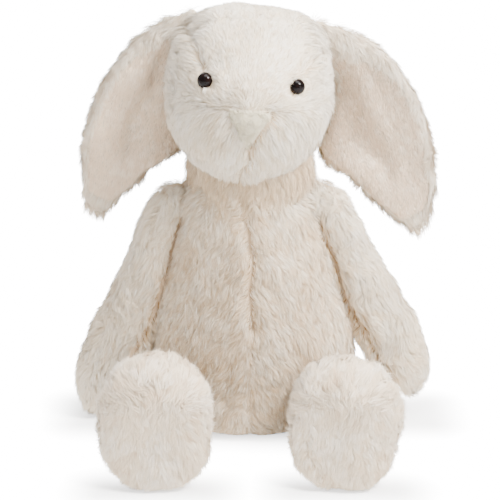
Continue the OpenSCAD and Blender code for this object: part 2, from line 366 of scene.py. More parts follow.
@dataclass
class Seam:
    """A sewn line on the front or back of a piece, as points (x, z). It draws the skin in, parts the pile,
    thins it where bare, and tints a share of the blades beside it with painted crease shade: golden beside
    the line, and on it a brown that is both thread and painted shade."""
    points: list
    side: int
    depth: float = 2.0 * MM
    width: float = 5 * MM
    parting: float = 1.0
    bare: float = 0.5
    # dark: the share of blades by the line that take the painted crease shade tints
    dark: float = 0.6

    def measure(self, points, normals):
        """Distance to the line, the direction away from it, and 1 where the surface faces the seam's side."""
        flat = points[:, [0, 2]]
        best = np.full(len(flat), 1e9)
        away = np.zeros_like(points)
        line = np.array(self.points)
        for a, b in zip(line[:-1], line[1:]):
            along = b - a
            share = np.clip(((flat - a) @ along) / (along @ along), 0, 1)
            gap = flat - (a + share[:, None] * along)
            distance = np.linalg.norm(gap, axis=1)
            closer = distance < best
            best[closer] = distance[closer]
            away[closer, 0] = gap[closer, 0]
            away[closer, 2] = gap[closer, 1]
        facing = np.clip(normals[:, 1] * self.side * 3 + 0.4, 0, 1)
        return best, unit(away), facing


def pull_seams(obj, seams):
    """Draws the skin in along its seams, and notes on the mesh how near each point is to one, which browns the
    backing with the thread's colour and painted crease shade.
    """
    points, normals = coordinates(obj), vertex_normals(obj)
    moved = points.copy()
    near = np.zeros(len(points))
    for seam in seams:
        distance, _, facing = seam.measure(points, normals)
        moved -= normals * (seam.depth * falloff(distance, seam.width) * facing)[:, None]
        # Weight of the thread brown and painted crease shade in the backing, kept as the seam attribute.
        near = np.maximum(near, falloff(distance, 2.5 * MM) * facing * seam.parting)
    move_to(obj, moved)
    obj.data.attributes.new("seam", "FLOAT", "POINT").data.foreach_set("value", near.astype(np.float32))


# ---- pile

HASH_X, HASH_Y, HASH_Z, HASH_SEED = 73856093, 19349663, 83492791, 2654435
HASH_STEPS = 1009


def hashed(mixed, factor):
    """A number from 0 to 1 that looks random but is always the same for the same cell."""
    return (mixed * factor % HASH_STEPS) / HASH_STEPS


def clump_centres(points, cell, seed):
    """For each point, the nearest of a set of jittered cell centres, and a number that its clump shares."""
    base = np.floor(points / cell).astype(np.int64)
    best = np.full(len(points), 1e9)
    centre = np.zeros_like(points)
    number = np.zeros(len(points))
    for offset in product((-1, 0, 1), repeat=3):
        spot = base + offset
        mixed = spot[:, 0] * HASH_X ^ spot[:, 1] * HASH_Y ^ spot[:, 2] * HASH_Z ^ seed * HASH_SEED
        jitter = np.stack([hashed(mixed, factor) for factor in (31, 57, 91)], axis=1)
        place = (spot + jitter) * cell
        distance = np.linalg.norm(points - place, axis=1)
        closer = distance < best
        best[closer] = distance[closer]
        centre[closer] = place[closer]
        number[closer] = hashed(mixed, 17)[closer]
    return centre, number


def clump_turn(number):
    """A direction of its own for each clump, from its random number."""
    angle = number * 2 * math.pi
    return np.stack([np.cos(angle), np.sin(angle * 3), np.sin(angle)], axis=1)


def shade_seam(tint, plain, distance, dark, rng):
    """Paints crease shade on the blades by a sewn line: golden beside it, and on it a brown that is both the
    thread and painted shade.
    """
    chance = rng.random(len(tint))
    tint = np.where(chance < dark * falloff(distance, 2.2 * MM) * 0.7, plain, tint)
    return np.where(chance < dark * falloff(distance, 0.9 * MM) * 1.6 - 0.4, plain + 1, tint)


def scatter(skin, count, rng, keep=None):
    """Random roots on a skin, as places and normals, thinned where the vertices' keep is low."""
    points, normals, faces = coordinates(skin), vertex_normals(skin), triangles(skin)
    corner = points[faces]
    area = np.linalg.norm(np.cross(corner[:, 1] - corner[:, 0], corner[:, 2] - corner[:, 0]), axis=1)
    if keep is not None:
        area = area * keep[faces].mean(axis=1)
    picked = rng.choice(len(faces), size=count, p=area / area.sum())
    u, v = rng.random((2, count))
    turned = u + v > 1
    u[turned], v[turned] = 1 - u[turned], 1 - v[turned]
    weights = np.stack([1 - u - v, u, v], axis=1)
    roots = np.einsum("ij,ijk->ik", weights, points[faces[picked]])
    outward = unit(np.einsum("ij,ijk->ik", weights, normals[faces[picked]]))
    return roots, outward


@dataclass
class Pile:
    """How a pile lies: its blades, their lift and its spread in degrees, their clumps and their wander."""
    length: float
    width: float = 0.33 * MM
    lift: float = 18.0
    clump: float = 2.7 * MM
    clumping: float = 0.45
    wander: float = 0.30
    spread: float = 9.0


SHORTEST_BLADE = 0.6 * MM
ROOT_DEPTH = 0.4 * MM
FLOOR_GAP = 0.3 * MM


def grow_pile(name, skin, count, pile, comb, tints, seed, seams=(), keep=None, trim=None, stand=None):
    """Grows a pile of flat tapered hair blades on a skin and returns it as one mesh. comb gives each root's
    direction, keep thins by vertex, trim scales each blade's length, and stand lifts and ruffles it."""
    rng = np.random.default_rng(seed)
    roots, normals = scatter(skin, count, rng, keep)
    lie = comb(roots, normals)
    length = pile.length * rng.uniform(0.75, 1.2, count) * (1 + 0.10 * waves(roots, 15 * MM, seed + 20))
    extra = np.zeros(count) if stand is None else stand(roots, normals)
    chance = np.ones(count)
    for seam in seams:
        distance, away, facing = seam.measure(roots, normals)
        near = facing * seam.parting
        lie = lie + away * (1.1 * falloff(distance, 6 * MM) * near)[:, None]
        length = length * (1 - 0.25 * falloff(distance, 3 * MM) * near)
        chance = chance - seam.bare * falloff(distance, 0.8 * MM) * facing
    if trim is not None:
        length = length * trim(roots, normals)
    centre, number = clump_centres(roots, pile.clump, seed)
    wander = (pile.wander * (1 + extra / 15))[:, None]
    lie = lie + wave_vectors(roots, 22 * MM, seed) * wander
    lie = lie + wave_vectors(centre, 7 * MM, seed + 9) * wander * 0.6
    lie = lie + clump_turn(number) * wander * 1.1 + rng.normal(0, 0.12, (count, 3))
    patch = number * 0.5 + rng.random(count) * 0.3 + 0.1 + 0.1 * waves(roots, 28 * MM, seed + 30)
    tint = np.clip(patch * len(tints), 0, len(tints) - 1).astype(np.int32)
    # Painted crease shade: some blades by each seam take the golden and brown seam tints.
    for seam in seams:
        distance, _, facing = seam.measure(roots, normals)
        tint = shade_seam(tint, len(tints), distance, facing * seam.dark, rng)
    alive = (rng.random(count) < chance) & (length > SHORTEST_BLADE)
    grown = [values[alive] for values in (roots, normals, lie, length, extra, centre, number)]
    points, shade = bend_blades(*grown, pile, rng)
    return blades_mesh(name, points, shade, tint[alive], [*tints, *seam_pile])


def bend_blades(roots, normals, lie, length, extra, centre, number, pile, rng):
    """The four corners of each blade, and the normal that shades it."""
    count = len(roots)
    lie = unit(lie - normals * np.sum(lie * normals, axis=1, keepdims=True))
    lift = pile.lift + extra + rng.normal(0, pile.spread, count) + (number - 0.5) * 16
    lift = np.radians(np.clip(lift, 2, 80))[:, None]
    rise = lie * np.cos(lift) + normals * np.sin(lift)
    droop = np.radians(np.clip(np.degrees(lift) * 0.35, 0, 80))
    run = lie * np.cos(droop) + normals * np.sin(droop)
    reach = length[:, None]
    middle = roots + rise * reach * 0.45
    tip = middle + run * reach * 0.55
    gather = centre + (lie + normals * 0.25) * reach
    gather = gather - normals * np.sum((gather - tip) * normals, axis=1, keepdims=True)
    tip = tip + (gather - tip) * (pile.clumping * rng.uniform(0.5, 1.0, count))[:, None]

    across = unit(np.cross(lie, normals))
    roll = rng.normal(0, 0.45, count)[:, None]
    across = unit(across * np.cos(roll) + normals * np.sin(roll))
    half = (pile.width * rng.uniform(0.7, 1.25, count) / 2)[:, None]
    for place in (middle, tip):
        place[:, 2] = np.maximum(place[:, 2], FLOOR_GAP)
    corners = [roots - normals * ROOT_DEPTH, middle + across * half, tip, middle - across * half]
    shade = unit(normals + (tip - centre) / pile.clump * 0.16 + rng.normal(0, 0.20, (count, 3)))
    return np.stack(corners, axis=1), shade


def blades_mesh(name, points, shade, tint, tints):
    """Builds the mesh of all blades, each a bent four-cornered leaf, with shading normals of their own."""
    count = len(points)
    mesh = bpy.data.meshes.new(name)
    mesh.vertices.add(count * 4)
    mesh.vertices.foreach_set("co", points.reshape(-1))
    mesh.loops.add(count * 4)
    mesh.loops.foreach_set("vertex_index", np.arange(count * 4, dtype=np.int32))
    mesh.polygons.add(count)
    mesh.polygons.foreach_set("loop_start", np.arange(count, dtype=np.int32) * 4)
    mesh.polygons.foreach_set("material_index", tint)
    mesh.polygons.foreach_set("use_smooth", np.ones(count, dtype=bool))
    mesh.update(calc_edges=True)
    mesh.normals_split_custom_set_from_vertices(np.repeat(shade, 4, axis=0).tolist())
    for material in tints:
        mesh.materials.append(material)
    return new_object(name, mesh)


def dress(obj, body, material=None, replaced=()):
    """Puts a finished piece on its body and hides the CAD nodes that it stands for."""
    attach(obj, body)
    if material is not None:
        obj.data.materials.clear()
        obj.data.materials.append(material)
        obj.data.polygons.foreach_set("use_smooth", np.ones(len(obj.data.polygons), dtype=bool))
    if replaced:
        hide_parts(*replaced)
    return obj


def toward(vector):
    """A comb that lies everywhere towards one direction."""
    direction = np.array(vector, float)
    return lambda roots, normals: np.repeat(direction[None], len(roots), axis=0)


# ---- the toy

face_pile = tinted_pile("face_pile", FACE_TINTS)
body_pile = tinted_pile("body_pile", BODY_TINTS)
sole_pile = tinted_pile("sole_pile", SOLE_TINTS)
arm_pile = tinted_pile("arm_pile", ARM_TINTS)
collar_pile = tinted_pile("collar_pile", COLLAR_SHADOWED_TINTS)
lining_pile = tinted_pile("lining_pile", LINING_SHADED_TINTS)
ear_pile = tinted_pile("ear_pile", EAR_TINTS)
seam_pile = tinted_pile("seam_pile", SEAM_SHADE_AND_THREAD_TINTS)
nose_nap = tinted_pile("nose_nap", NOSE_TINTS)
backing = backing_material()
# The velour's darker colours are painted shade of the ear's hollow, over a two-tone nap.
velour = cloth_material("ear_velour", LINING_DARK, LINING, scale=420.0, depth=0.0005, stretch=(1, 1, 0.12))
nose_cloth = cloth_material("nose_cloth", NOSE_DARK, NOSE, scale=900.0, depth=0.0003, stretch=(1, 1, 0.5))
wadding = cloth_material("wadding", WADDING_DARK, WADDING, scale=260.0, depth=0.002)
pellet_cloth = cloth_material("pellet_cloth", PELLET_CLOTH_DARK, PELLET_CLOTH, scale=800.0, depth=0.0003)

HEAD_TILT = math.radians(4)
box_low, box_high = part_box("head_stuffing")
HEAD_CENTRE = np.array([(box_low.x + box_high.x) / 2, 0.0, (box_low.z + box_high.z) / 2])
NECK = np.array(JOINTS["neck_nod"]["pos_m"])


def to_head(points):
    """Places in the head's own upright frame, round its centre."""
    p = np.atleast_2d(points) - HEAD_CENTRE
    c, s = math.cos(HEAD_TILT), math.sin(HEAD_TILT)
    return np.stack([p[:, 0] * c - p[:, 2] * s, p[:, 1], p[:, 0] * s + p[:, 2] * c], axis=1)


def from_head(points):
    """Places given in the head's own frame, in the shared frame."""
    p = np.atleast_2d(points)
    c, s = math.cos(HEAD_TILT), math.sin(HEAD_TILT)
    turned = np.stack([p[:, 0] * c + p[:, 2] * s, p[:, 1], -p[:, 0] * s + p[:, 2] * c], axis=1)
    return turned + HEAD_CENTRE


def head_seam(points, *settings):
    """A seam on the front of the head, its points given as (x, z) in the head's own frame."""
    solid = from_head([(x, -0.05, z) for x, z in points])
    return Seam(solid[:, [0, 2]], FRONT, *settings)


def step(value, low, high):
    """Rises smoothly from 0 at low to 1 at high."""
    t = np.clip((value - low) / (high - low), 0, 1)
    return t * t * (3 - 2 * t)


EYES = {}
for side in SIDES:
    low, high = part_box(f"{side}_eye_washer")
    EYES[side] = np.array((low + high) / 2)


def swell(skin, amount):
    """Moves every point out along its normal by the amount given for it."""
    points, normals = coordinates(skin), vertex_normals(skin)
    move_to(skin, points + normals * amount(points, normals)[:, None])


TORSO_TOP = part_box("body_front_left")[1].z
SKIN_GAP = 0.2 * MM
HAND_GAP = 0.8 * MM


def torso_shape(points, normals):
    """How far the torso stands out: its waist, shoulders, the left hip, and soft lumps."""
    z = points[:, 2]
    waist = step(z, 0.035, 0.08) * (1 - step(z, 0.115, 0.15))
    sides = np.abs(normals[:, 0]) ** 1.5
    lumps = 1.1 * MM * waves(points, 45 * MM, 3) + 0.45 * MM * waves(points, 15 * MM, 4)
    shoulders = step(z, 0.118, 0.145) + 0.9 * step(z, 0.140, 0.155)
    hip = step(points[:, 0], 0.02, 0.06) * step(z, 0.02, 0.04) * (1 - step(z, 0.055, 0.09))
    shoulders = shoulders * (1 - 0.75 * np.clip(-normals[:, 1], 0, 1))
    return (4.5 * waist * sides + 4.0 * shoulders + 4.0 * hip) * MM + lumps * step(z, 0.01, 0.03)


def torso_seams():
    """The centre seam down chest and belly, three folds, and the centre seam of the back."""
    top = TORSO_TOP
    chest = [(-0.003, top), (-0.0015, top * 0.86), (0.0015, top * 0.72), (-0.0005, top * 0.6),
             (0.002, top * 0.46)]
    belly = [(0.002, top * 0.46), (-0.0005, top * 0.25), (0.0, 0.0)]
    fold = [(0.003, top * 0.745), (0.016, top * 0.775), (0.030, top * 0.80)]
    return [
        Seam(chest, FRONT, 2.2 * MM, 3.5 * MM, 0.7, 0.3, 0.55),
        Seam(belly, FRONT, 1.2 * MM, 4 * MM, 0.3, 0.1, 0.2),
        Seam(fold, FRONT, 1.1 * MM, 5 * MM, 0.35, 0.0, 0.12),
        Seam([(-0.012, 0.052), (-0.015, 0.028)], FRONT, 1.6 * MM, 4 * MM, 0.3, 0.2, 0.2),
        Seam([(-0.05, 0.006), (0.05, 0.006)], FRONT, 1.5 * MM, 3 * MM, 0.3, 0.1, 0.5),
        Seam([(0, top), (0, 0)], BACK, 1.5 * MM, 5 * MM, 0.8, 0.3, 0.5),
    ]


def on_shoulder(roots, inner, outer):
    """1 on the top of the shoulders, rising from the inner to the outer distance from the middle."""
    return step(roots[:, 2], TORSO_TOP - 0.026, TORSO_TOP - 0.008) * step(np.abs(roots[:, 0]), inner, outer)


def torso_comb(roots, normals):
    lie = np.zeros_like(roots)
    lie[:, 2] = -1
    lie[:, 0] = np.sign(roots[:, 0]) * (0.3 + 2.2 * on_shoulder(roots, 0.018, 0.034))
    return lie


def torso_trim(roots, normals):
    return np.clip((roots[:, 2] - 0.002) / 0.008, 0.15, 1) * (1 + 0.7 * on_shoulder(roots, 0.024, 0.036))


def torso_stand(roots, normals):
    ruffle = 3 * (1 + waves(roots, 34 * MM, 15))
    return 14 * step(roots[:, 2], TORSO_TOP - 0.020, TORSO_TOP - 0.006) + ruffle


def make_torso():
    nodes = ["body_front_left", "body_front_right", "body_back_left", "body_back_right", "body_stuffing",
             "seat_panel"]
    skin = stuffed_skin("body_skin", nodes, 4.5 * MM, 3 * MM)
    swell(skin, torso_shape)
    points = coordinates(skin)
    sitting = (1 - step(points[:, 2], 0.002, 0.035)) * step(-points[:, 1], 0.0, 0.03)
    points[:, 1] -= 6.0 * MM * sitting
    points[:, 2] += 3.0 * MM * step(points[:, 2], 0.140, 0.155)
    points[:, 2] = np.maximum(points[:, 2], SKIN_GAP)
    move_to(skin, points)
    seams = torso_seams()
    pull_seams(skin, seams)
    dress(skin, "torso", backing, nodes)
    pile = Pile(6.8 * MM)
    front = (coordinates(skin)[:, 1] < 0.004).astype(float)
    for half, keep, seed in (("front", front, 11), ("back", 1 - front, 12)):
        hair = grow_pile(f"body_pile_{half}", skin, BODY_BLADES, pile, torso_comb, body_pile, seed, seams,
                         keep, torso_trim, torso_stand)
        dress(hair, "torso")


# Height above the neck's centre, half width and half depth of each ring of the collar
COLLAR_RINGS = [
    (-0.026, 0.030, 0.027), (-0.019, 0.0355, 0.031), (-0.010, 0.038, 0.034), (0.0, 0.0385, 0.035),
    (0.010, 0.038, 0.034), (0.020, 0.036, 0.032), (0.030, 0.032, 0.028),
]


def tube(name, rings, steps=56):
    """An open tube through rings (z, half width, half depth) round the neck."""
    mesh = bpy.data.meshes.new(name)
    turn = np.arange(steps) * 2 * math.pi / steps
    points = []
    for z, half_x, half_y in rings:
        ring = np.stack([half_x * np.sin(turn), -half_y * np.cos(turn), np.full(steps, NECK[2] + z)], axis=1)
        points.append(ring)
    points = np.concatenate(points)
    faces = []
    for i in range(len(rings) - 1):
        for j in range(steps):
            k = (j + 1) % steps
            faces.append((i * steps + j, i * steps + k, (i + 1) * steps + k, (i + 1) * steps + j))
    mesh.from_pydata(points.tolist(), [], faces)
    mesh.update()
    obj = new_object(name, mesh)
    modify(obj, "SUBSURF", levels=2, render_levels=2)
    swell(obj, lambda points, normals: 1.5 * MM * waves(points, 24 * MM, 71))
    return obj


def make_collar():
    """The furred neck, in two sleeves that meet at the neck's centre."""
    parts = (
        ("collar_low", COLLAR_RINGS[:4], "torso", "neck", -0.018, -0.003),
        ("collar_high", COLLAR_RINGS[3:], "neck", "head", 0.002, 0.020),
    )
    for name, rings, first, second, start, end in parts:
        sleeve = tube(name, rings)
        skin = sleeve.data
        pile = Pile(7.5 * MM, lift=24)
        # The collar pile's darker tints are a painted shadow of the head.
        hair = grow_pile(f"{name}_pile", sleeve, COLLAR_BLADES, pile, toward((0, 0, -1)), collar_pile, 73)
        skin.materials.append(backing)
        skin.polygons.foreach_set("use_smooth", np.ones(len(skin.polygons), dtype=bool))
        for piece in (sleeve, hair):
            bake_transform(piece)

    core = stuffed_skin("neck_wadding", ["neck_stuffing"], 3.0 * MM, 0, smooth=2)
    swell(core, lambda points, normals: -0.6 * MM + 0.5 * MM * waves(points, 9 * MM, 75))
    dress(core, "neck", wadding, ["neck_stuffing"])


def shape_head(skin):
    """Muzzle, cheeks, brow and eye sockets."""
    points, normals = coordinates(skin), vertex_normals(skin)
    x, y, z = to_head(points).T
    front = np.clip(-normals[:, 1] * 2, 0, 1)
    push = np.zeros(len(points))
    for way in (-1, 1):
        cheek = np.hypot(x - way * 0.019, z + 0.030)
        push += 3.0 * MM * falloff(cheek, 14 * MM) * front
        jowl = np.hypot(x - way * 0.040, z + 0.024)
        push += 1.5 * MM * falloff(jowl, 14 * MM)
    brow = np.hypot(x * 0.5, z - 0.030)
    push += 1.5 * MM * falloff(brow, 14 * MM) * front
    muzzle_edge = np.abs(np.hypot(x * 0.85, z + 0.030) - 0.027)
    push -= 1.4 * MM * falloff(muzzle_edge, 4 * MM) * front * step(z, -0.03, -0.01)
    bridge = (1 - step(np.abs(x), 0.016, 0.030)) * step(z, -0.0065, -0.002)
    push += 1.6 * MM * bridge * (1 - step(z, 0.002, 0.02)) * front
    for centre in EYES.values():
        gap = points - centre
        distance = np.hypot(gap[:, 0], gap[:, 2])
        push += (1.4 * falloff(distance - 7 * MM, 3 * MM) - 1.0 * falloff(distance, 11 * MM)) * MM * front
    push += 0.7 * MM * waves(points, 38 * MM, 5) + 0.35 * MM * waves(points, 13 * MM, 6)
    moved = points + normals * push[:, None]
    chin = falloff(x + 0.001, 0.013) * step(-z, 0.032, 0.050) * step(-y, -0.005, 0.03)
    moved[:, 2] -= 4.5 * MM * chin + 5.0 * MM * step(-z, 0.005, 0.042) * step(-y, -0.02, 0.01)
    jaw = step(-z, 0.008, 0.050)
    moved[:, 0] -= (x * 0.08 + np.maximum(x, 0) * 0.13) * jaw
    move_to(skin, moved)


def nose_area(local, margin=0.0):
    """True inside the triangular nose patch, in the head's own frame."""
    x, y, z = local.T
    low, high = -0.028, -0.006
    share = np.clip((z - low) / (high - low), 0, 1)
    inside = np.abs(x) < 0.0118 * share - margin
    return inside & (z > low) & (z < high - margin) & (y < 0)


def from_eye(points, centre):
    """Offset and distance from an eye as seen from the front, with everything behind the face far away."""
    gap = points - centre
    gap[:, 1] = 0
    distance = np.linalg.norm(gap, axis=1)
    distance[points[:, 1] > 0] = 1.0
    return gap, distance


NOSE_TIP = from_head([(0, -0.056, -0.014)])[0]


def head_seams():
    """The mouth, the chin, one side of the nose patch, and the fold between each eye and ear."""
    return [
        head_seam([(0.001, -0.029), (0.003, -0.036), (-0.001, -0.043)], 1.6 * MM, 3 * MM, 0.5, 0.3, 0.45),
        head_seam([(-0.001, -0.043), (-0.003, -0.054)], 0.5 * MM, 3 * MM, 0.3, 0.1, 0.2),
        head_seam([(0.0125, -0.009), (0.0085, -0.016), (0.0015, -0.029)], 2.0 * MM, 2.2 * MM, 0.7, 0.6, 0.8),
        head_seam([(-0.031, 0.017), (-0.035, 0.028), (-0.043, 0.043)], 2.8 * MM, 3.5 * MM, 0.6, 0.1, 0.25),
        head_seam([(0.031, 0.016), (0.038, 0.024), (0.045, 0.030)], 1.4 * MM, 3.5 * MM, 0.4, 0.1, 0.2),
    ]


def head_comb(roots, normals):
    """Away from the nose, down below it and at the back, and away from the eyes and the temples."""
    x, y, z = to_head(roots).T
    lie = unit(roots - NOSE_TIP)
    lie[:, 2] -= 1.7 * step(-z, -0.001, 0.016)
    lie[:, 2] -= 1.2 * step(y, -0.01, 0.02)
    for centre in EYES.values():
        gap, distance = from_eye(roots, centre)
        lie -= unit(gap) * (4.0 * falloff(distance, 6.0 * MM))[:, None]
    temple = step(np.abs(x), 0.022, 0.036) * step(z, 0.018, 0.034)
    lie[:, 0] += 2.5 * temple * np.sign(x)
    lie[:, 2] -= 0.8 * temple
    return lie


def head_trim(roots, normals):
    """None on the eyes and the nose patch, short round them and on the brow, long at the temples."""
    scale = np.ones(len(roots))
    for centre in EYES.values():
        _, distance = from_eye(roots, centre)
        scale *= 0.55 + 0.45 * step(distance, 6.0 * MM, 11 * MM)
        scale[distance < 4.6 * MM] = 0
    local = to_head(roots)
    x, _, z = local.T
    smooth_brow = step(z, -0.006, 0.002) * (1 - step(np.abs(x), 0.018, 0.036))
    scale *= 1 - 0.42 * smooth_brow
    scale *= 1 + 0.5 * step(np.abs(x), 0.026, 0.038) * step(z, 0.020, 0.034)
    nosed = nose_area(local, 1.5 * MM)
    scale[nosed] = 0
    close = nose_area(local, -3 * MM) & ~nosed
    scale[close] *= 0.7
    return scale


def head_stand(roots, normals):
    """Ruffled on the sides, the muzzle and the crown, and standing up round the eyes."""
    x, y, z = to_head(roots).T
    sides = step(np.abs(x), 0.026, 0.042) * (1 - step(y, 0.0, 0.02))
    muzzle = falloff(np.hypot(x, z + 0.028), 20 * MM)
    muzzle = muzzle * (1 - step(y, -0.03, -0.01))
    crown = step(z, 0.030, 0.045)
    rise = 7 * sides + 6 * muzzle + 8 * crown
    for centre in EYES.values():
        _, distance = from_eye(roots, centre)
        rise = rise + 26 * falloff(distance - 5.5 * MM, 2.0 * MM)
    return rise


def make_head():
    nodes = ["head_gusset", "left_cheek_panel", "right_cheek_panel", "head_stuffing"]
    skin = stuffed_skin("head_skin", nodes, 4.0 * MM, 2.5 * MM)
    shape_head(skin)
    seams = head_seams()
    pull_seams(skin, seams)
    dress(skin, "head", backing, nodes)
    pile = Pile(7.6 * MM, width=0.31 * MM, lift=16, clump=3.0 * MM, clumping=0.40, wander=0.22, spread=7)
    front = (to_head(coordinates(skin))[:, 1] < 0.0).astype(float)
    for half, keep, count, seed in (("front", front, FACE_BLADES, 21), ("back", 1 - front, NAPE_BLADES, 22)):
        hair = grow_pile(f"head_pile_{half}", skin, count, pile, head_comb, face_pile, seed, seams,
                         keep, head_trim, head_stand)
        dress(hair, "head")
    make_nose()


def make_nose():
    """Smooth triangular nose patch, softly stuffed and sunk into the pile at its edges."""
    obj = joined_copy("nose_cover", ["nose_patch"])
    modify(obj, "REMESH", mode="VOXEL", voxel_size=0.9 * MM)
    modify(obj, "SMOOTH", factor=0.5, iterations=8)
    points = coordinates(obj)
    x, _, z = to_head(points).T
    share = np.clip((z + 0.028) / 0.022, 0, 1)
    across = np.clip(np.abs(x) / np.maximum(0.0125 * share, 0.001), 0, 1)
    rounded = np.sqrt(np.clip(1 - across ** 2, 0, 1)) * step(share, 0.0, 0.3) * (1 - step(share, 0.72, 1.0))
    points[:, 1] -= 3.6 * MM * rounded + 0.9 * MM
    move_to(obj, points)
    modify(obj, "SUBSURF", levels=1, render_levels=1)
    dress(obj, "head", nose_cloth, ["nose_patch"])

    def comb(roots, normals):
        lie = np.zeros_like(roots)
        lie[:, 0] = (roots[:, 0] - HEAD_CENTRE[0]) * 20
        lie[:, 2] = -0.6
        return lie

    faced = (vertex_normals(obj)[:, 1] < 0.2).astype(float)
    nap = Pile(4.6 * MM, width=0.30 * MM, lift=14, clump=1.8 * MM, clumping=0.25, wander=0.35)
    hair = grow_pile("nose_nap", obj, NOSE_BLADES, nap, comb, nose_nap, 25, (), faced)
    dress(hair, "head")


def make_eyes():
    gloss = eye_material()
    washer = plastic_material()
    for side in SIDES:
        for node, material in ((f"{side}_eye", gloss), (f"{side}_eye_washer", washer)):
            mesh = NODES[node].data
            mesh.materials.clear()
            mesh.materials.append(material)


def keep_faces(obj, name, wanted):
    """A copy of an object with only the faces whose corners are all wanted."""
    mesh = obj.data.copy()
    copy = new_object(name, mesh)
    work = bmesh.new()
    work.from_mesh(mesh)
    work.verts.ensure_lookup_table()
    gone = [f for f in work.faces if not all(wanted[v.index] for v in f.verts)]
    bmesh.ops.delete(work, geom=gone, context="FACES")
    work.to_mesh(mesh)
    work.free()
    return copy


def bend_ear(points, u, v, across, sign):
    """Tucks the inner edge in behind the head, rolls the outer edge forward, and folds the lining softly.
    u and v are the places along and across the ear."""
    inner = step(-v, -0.006, 0.018) * step(u, -0.004, 0.02) * (1 - step(u, 0.070, 0.100))
    points = points - across * ((15 if sign > 0 else 12) * MM * inner)[:, None]
    points[:, 1] += 15 * MM * inner
    roll = step(v, 0.008, 0.034) * step(u, 0.0, 0.04)
    points[:, 1] -= 6 * MM * roll
    fold = 0.004 if sign > 0 else -0.003
    groove = falloff(v + fold, 5 * MM) * step(u, 0.01, 0.04) * (1 - step(u, 0.085, 0.115))
    points[:, 1] += (4.0 if sign > 0 else 6.0) * MM * groove
    points += wave_vectors(points, 40 * MM, 33)[:, [1, 0, 2]] * [[0.8 * MM, 1.2 * MM, 0.5 * MM]]
    base = 1 - step(u, -0.006, 0.035)
    points[:, 0] -= sign * 8 * MM * base
    points[:, 2] += (0.5 if sign > 0 else 1.2) * MM * base
    if sign < 0:
        points[:, 0] += 6.5 * MM * step(u, -0.004, 0.03)
        return points
    points[:, 2] -= 5 * MM * step(u, 0.10, 0.14)
    belly = step(-v, -0.004, 0.016) * step(u, 0.050, 0.085) * (1 - step(u, 0.115, 0.140))
    return points - across * (5 * MM * belly)[:, None]


EAR_BANDS = 41
BAND_LENGTH = 0.005


def lining_area(normals, u, v, sign):
    """True on the front of the ear within its rim, whose edges are found band by band along the ear."""
    band = np.clip((u / BAND_LENGTH).astype(int) + 2, 0, EAR_BANDS - 1)
    across = [v[band == k] for k in range(EAR_BANDS)]
    outer_edge = np.array([places.max() if len(places) else 0 for places in across])[band]
    inner_edge = np.array([places.min() if len(places) else 0 for places in across])[band]
    rim = (5 + (20 if sign > 0 else 12) * (1 - step(u, 0.0, 0.05))) * MM
    within = (v < outer_edge - rim) & (v > inner_edge + 2.5 * MM) & (u < 0.128) & (u > 0.004)
    return (normals[:, 1] < 0.1) & within


def make_ear(side):
    sign = 1 if side == "left" else -1
    nodes = [f"{side}_ear_back", f"{side}_ear_lining"]
    whole = stuffed_skin(f"{side}_ear_whole", nodes, 2.6 * MM, 2.0 * MM, smooth=4, pressure=3.0)
    root = np.array(JOINTS[f"{side}_ear_lift"]["pos_m"])
    spread = math.radians(25 if sign > 0 else 26)
    along = np.array([sign * math.sin(spread), 0, -math.cos(spread)])
    across = np.array([sign * math.cos(spread), 0, math.sin(spread)])
    points = coordinates(whole)
    u = (points - root) @ along
    v = (points - root) @ across
    move_to(whole, bend_ear(points, u, v, across, sign))
    lined = lining_area(vertex_normals(whole), u, v, sign)
    overlap = np.isin(np.arange(len(v)), neighbours(whole, lined))
    back = keep_faces(whole, f"{side}_ear_back_skin", ~lined)
    front = keep_faces(whole, f"{side}_ear_lining_skin", lined | overlap)
    bpy.data.objects.remove(whole)
    dress(back, f"{side}_ear", backing, nodes[:1])
    dress(front, f"{side}_ear", velour, nodes[1:])

    def comb(roots, normals):
        place = (roots - root) @ across
        reach = (roots - root) @ along
        outward = np.clip((place - 0.004) / 0.022, -1.2, 1.2) * 0.8
        facing = step(-normals[:, 1], -0.1, 0.5)
        outward = outward * (1 - 1.5 * facing)
        tip = step(reach, 0.10, 0.13)
        return along[None] * (0.9 + tip[:, None]) + across[None] * outward[:, None]

    def tufts(roots, normals):
        reach = (roots - root) @ along
        facing = step(-normals[:, 1], 0.0, 0.6)
        ends = 0.5 * step(reach, 0.11, 0.135) + 0.35 * (1 - step(reach, 0.0, 0.04))
        return (1 + ends) * (1 - 0.25 * facing)

    pile = Pile(7.5 * MM, lift=15, clumping=0.45)
    hair = grow_pile(f"{side}_ear_pile", back, EAR_BLADES, pile, comb, ear_pile, 31 if sign > 0 else 32,
                     trim=tufts)
    dress(hair, f"{side}_ear")
    # The lining's nap takes its darker tints: painted shade of the ear's hollow.
    nap = Pile(4.0 * MM, width=0.34 * MM, lift=8, clump=4 * MM, clumping=0.15, wander=0.18, spread=4)
    down = toward(along + np.array([0, 0, -0.4]))
    hair = grow_pile(f"{side}_ear_nap", front, LINING_BLADES, nap, down, lining_pile, 34 if sign > 0 else 35)
    dress(hair, f"{side}_ear")


def neighbours(obj, chosen):
    """Indices of the vertices that share an edge with chosen ones."""
    pairs = rows(obj.data.edges, "vertices", 2, np.int64)
    return np.unique(pairs[chosen[pairs].any(axis=1)])


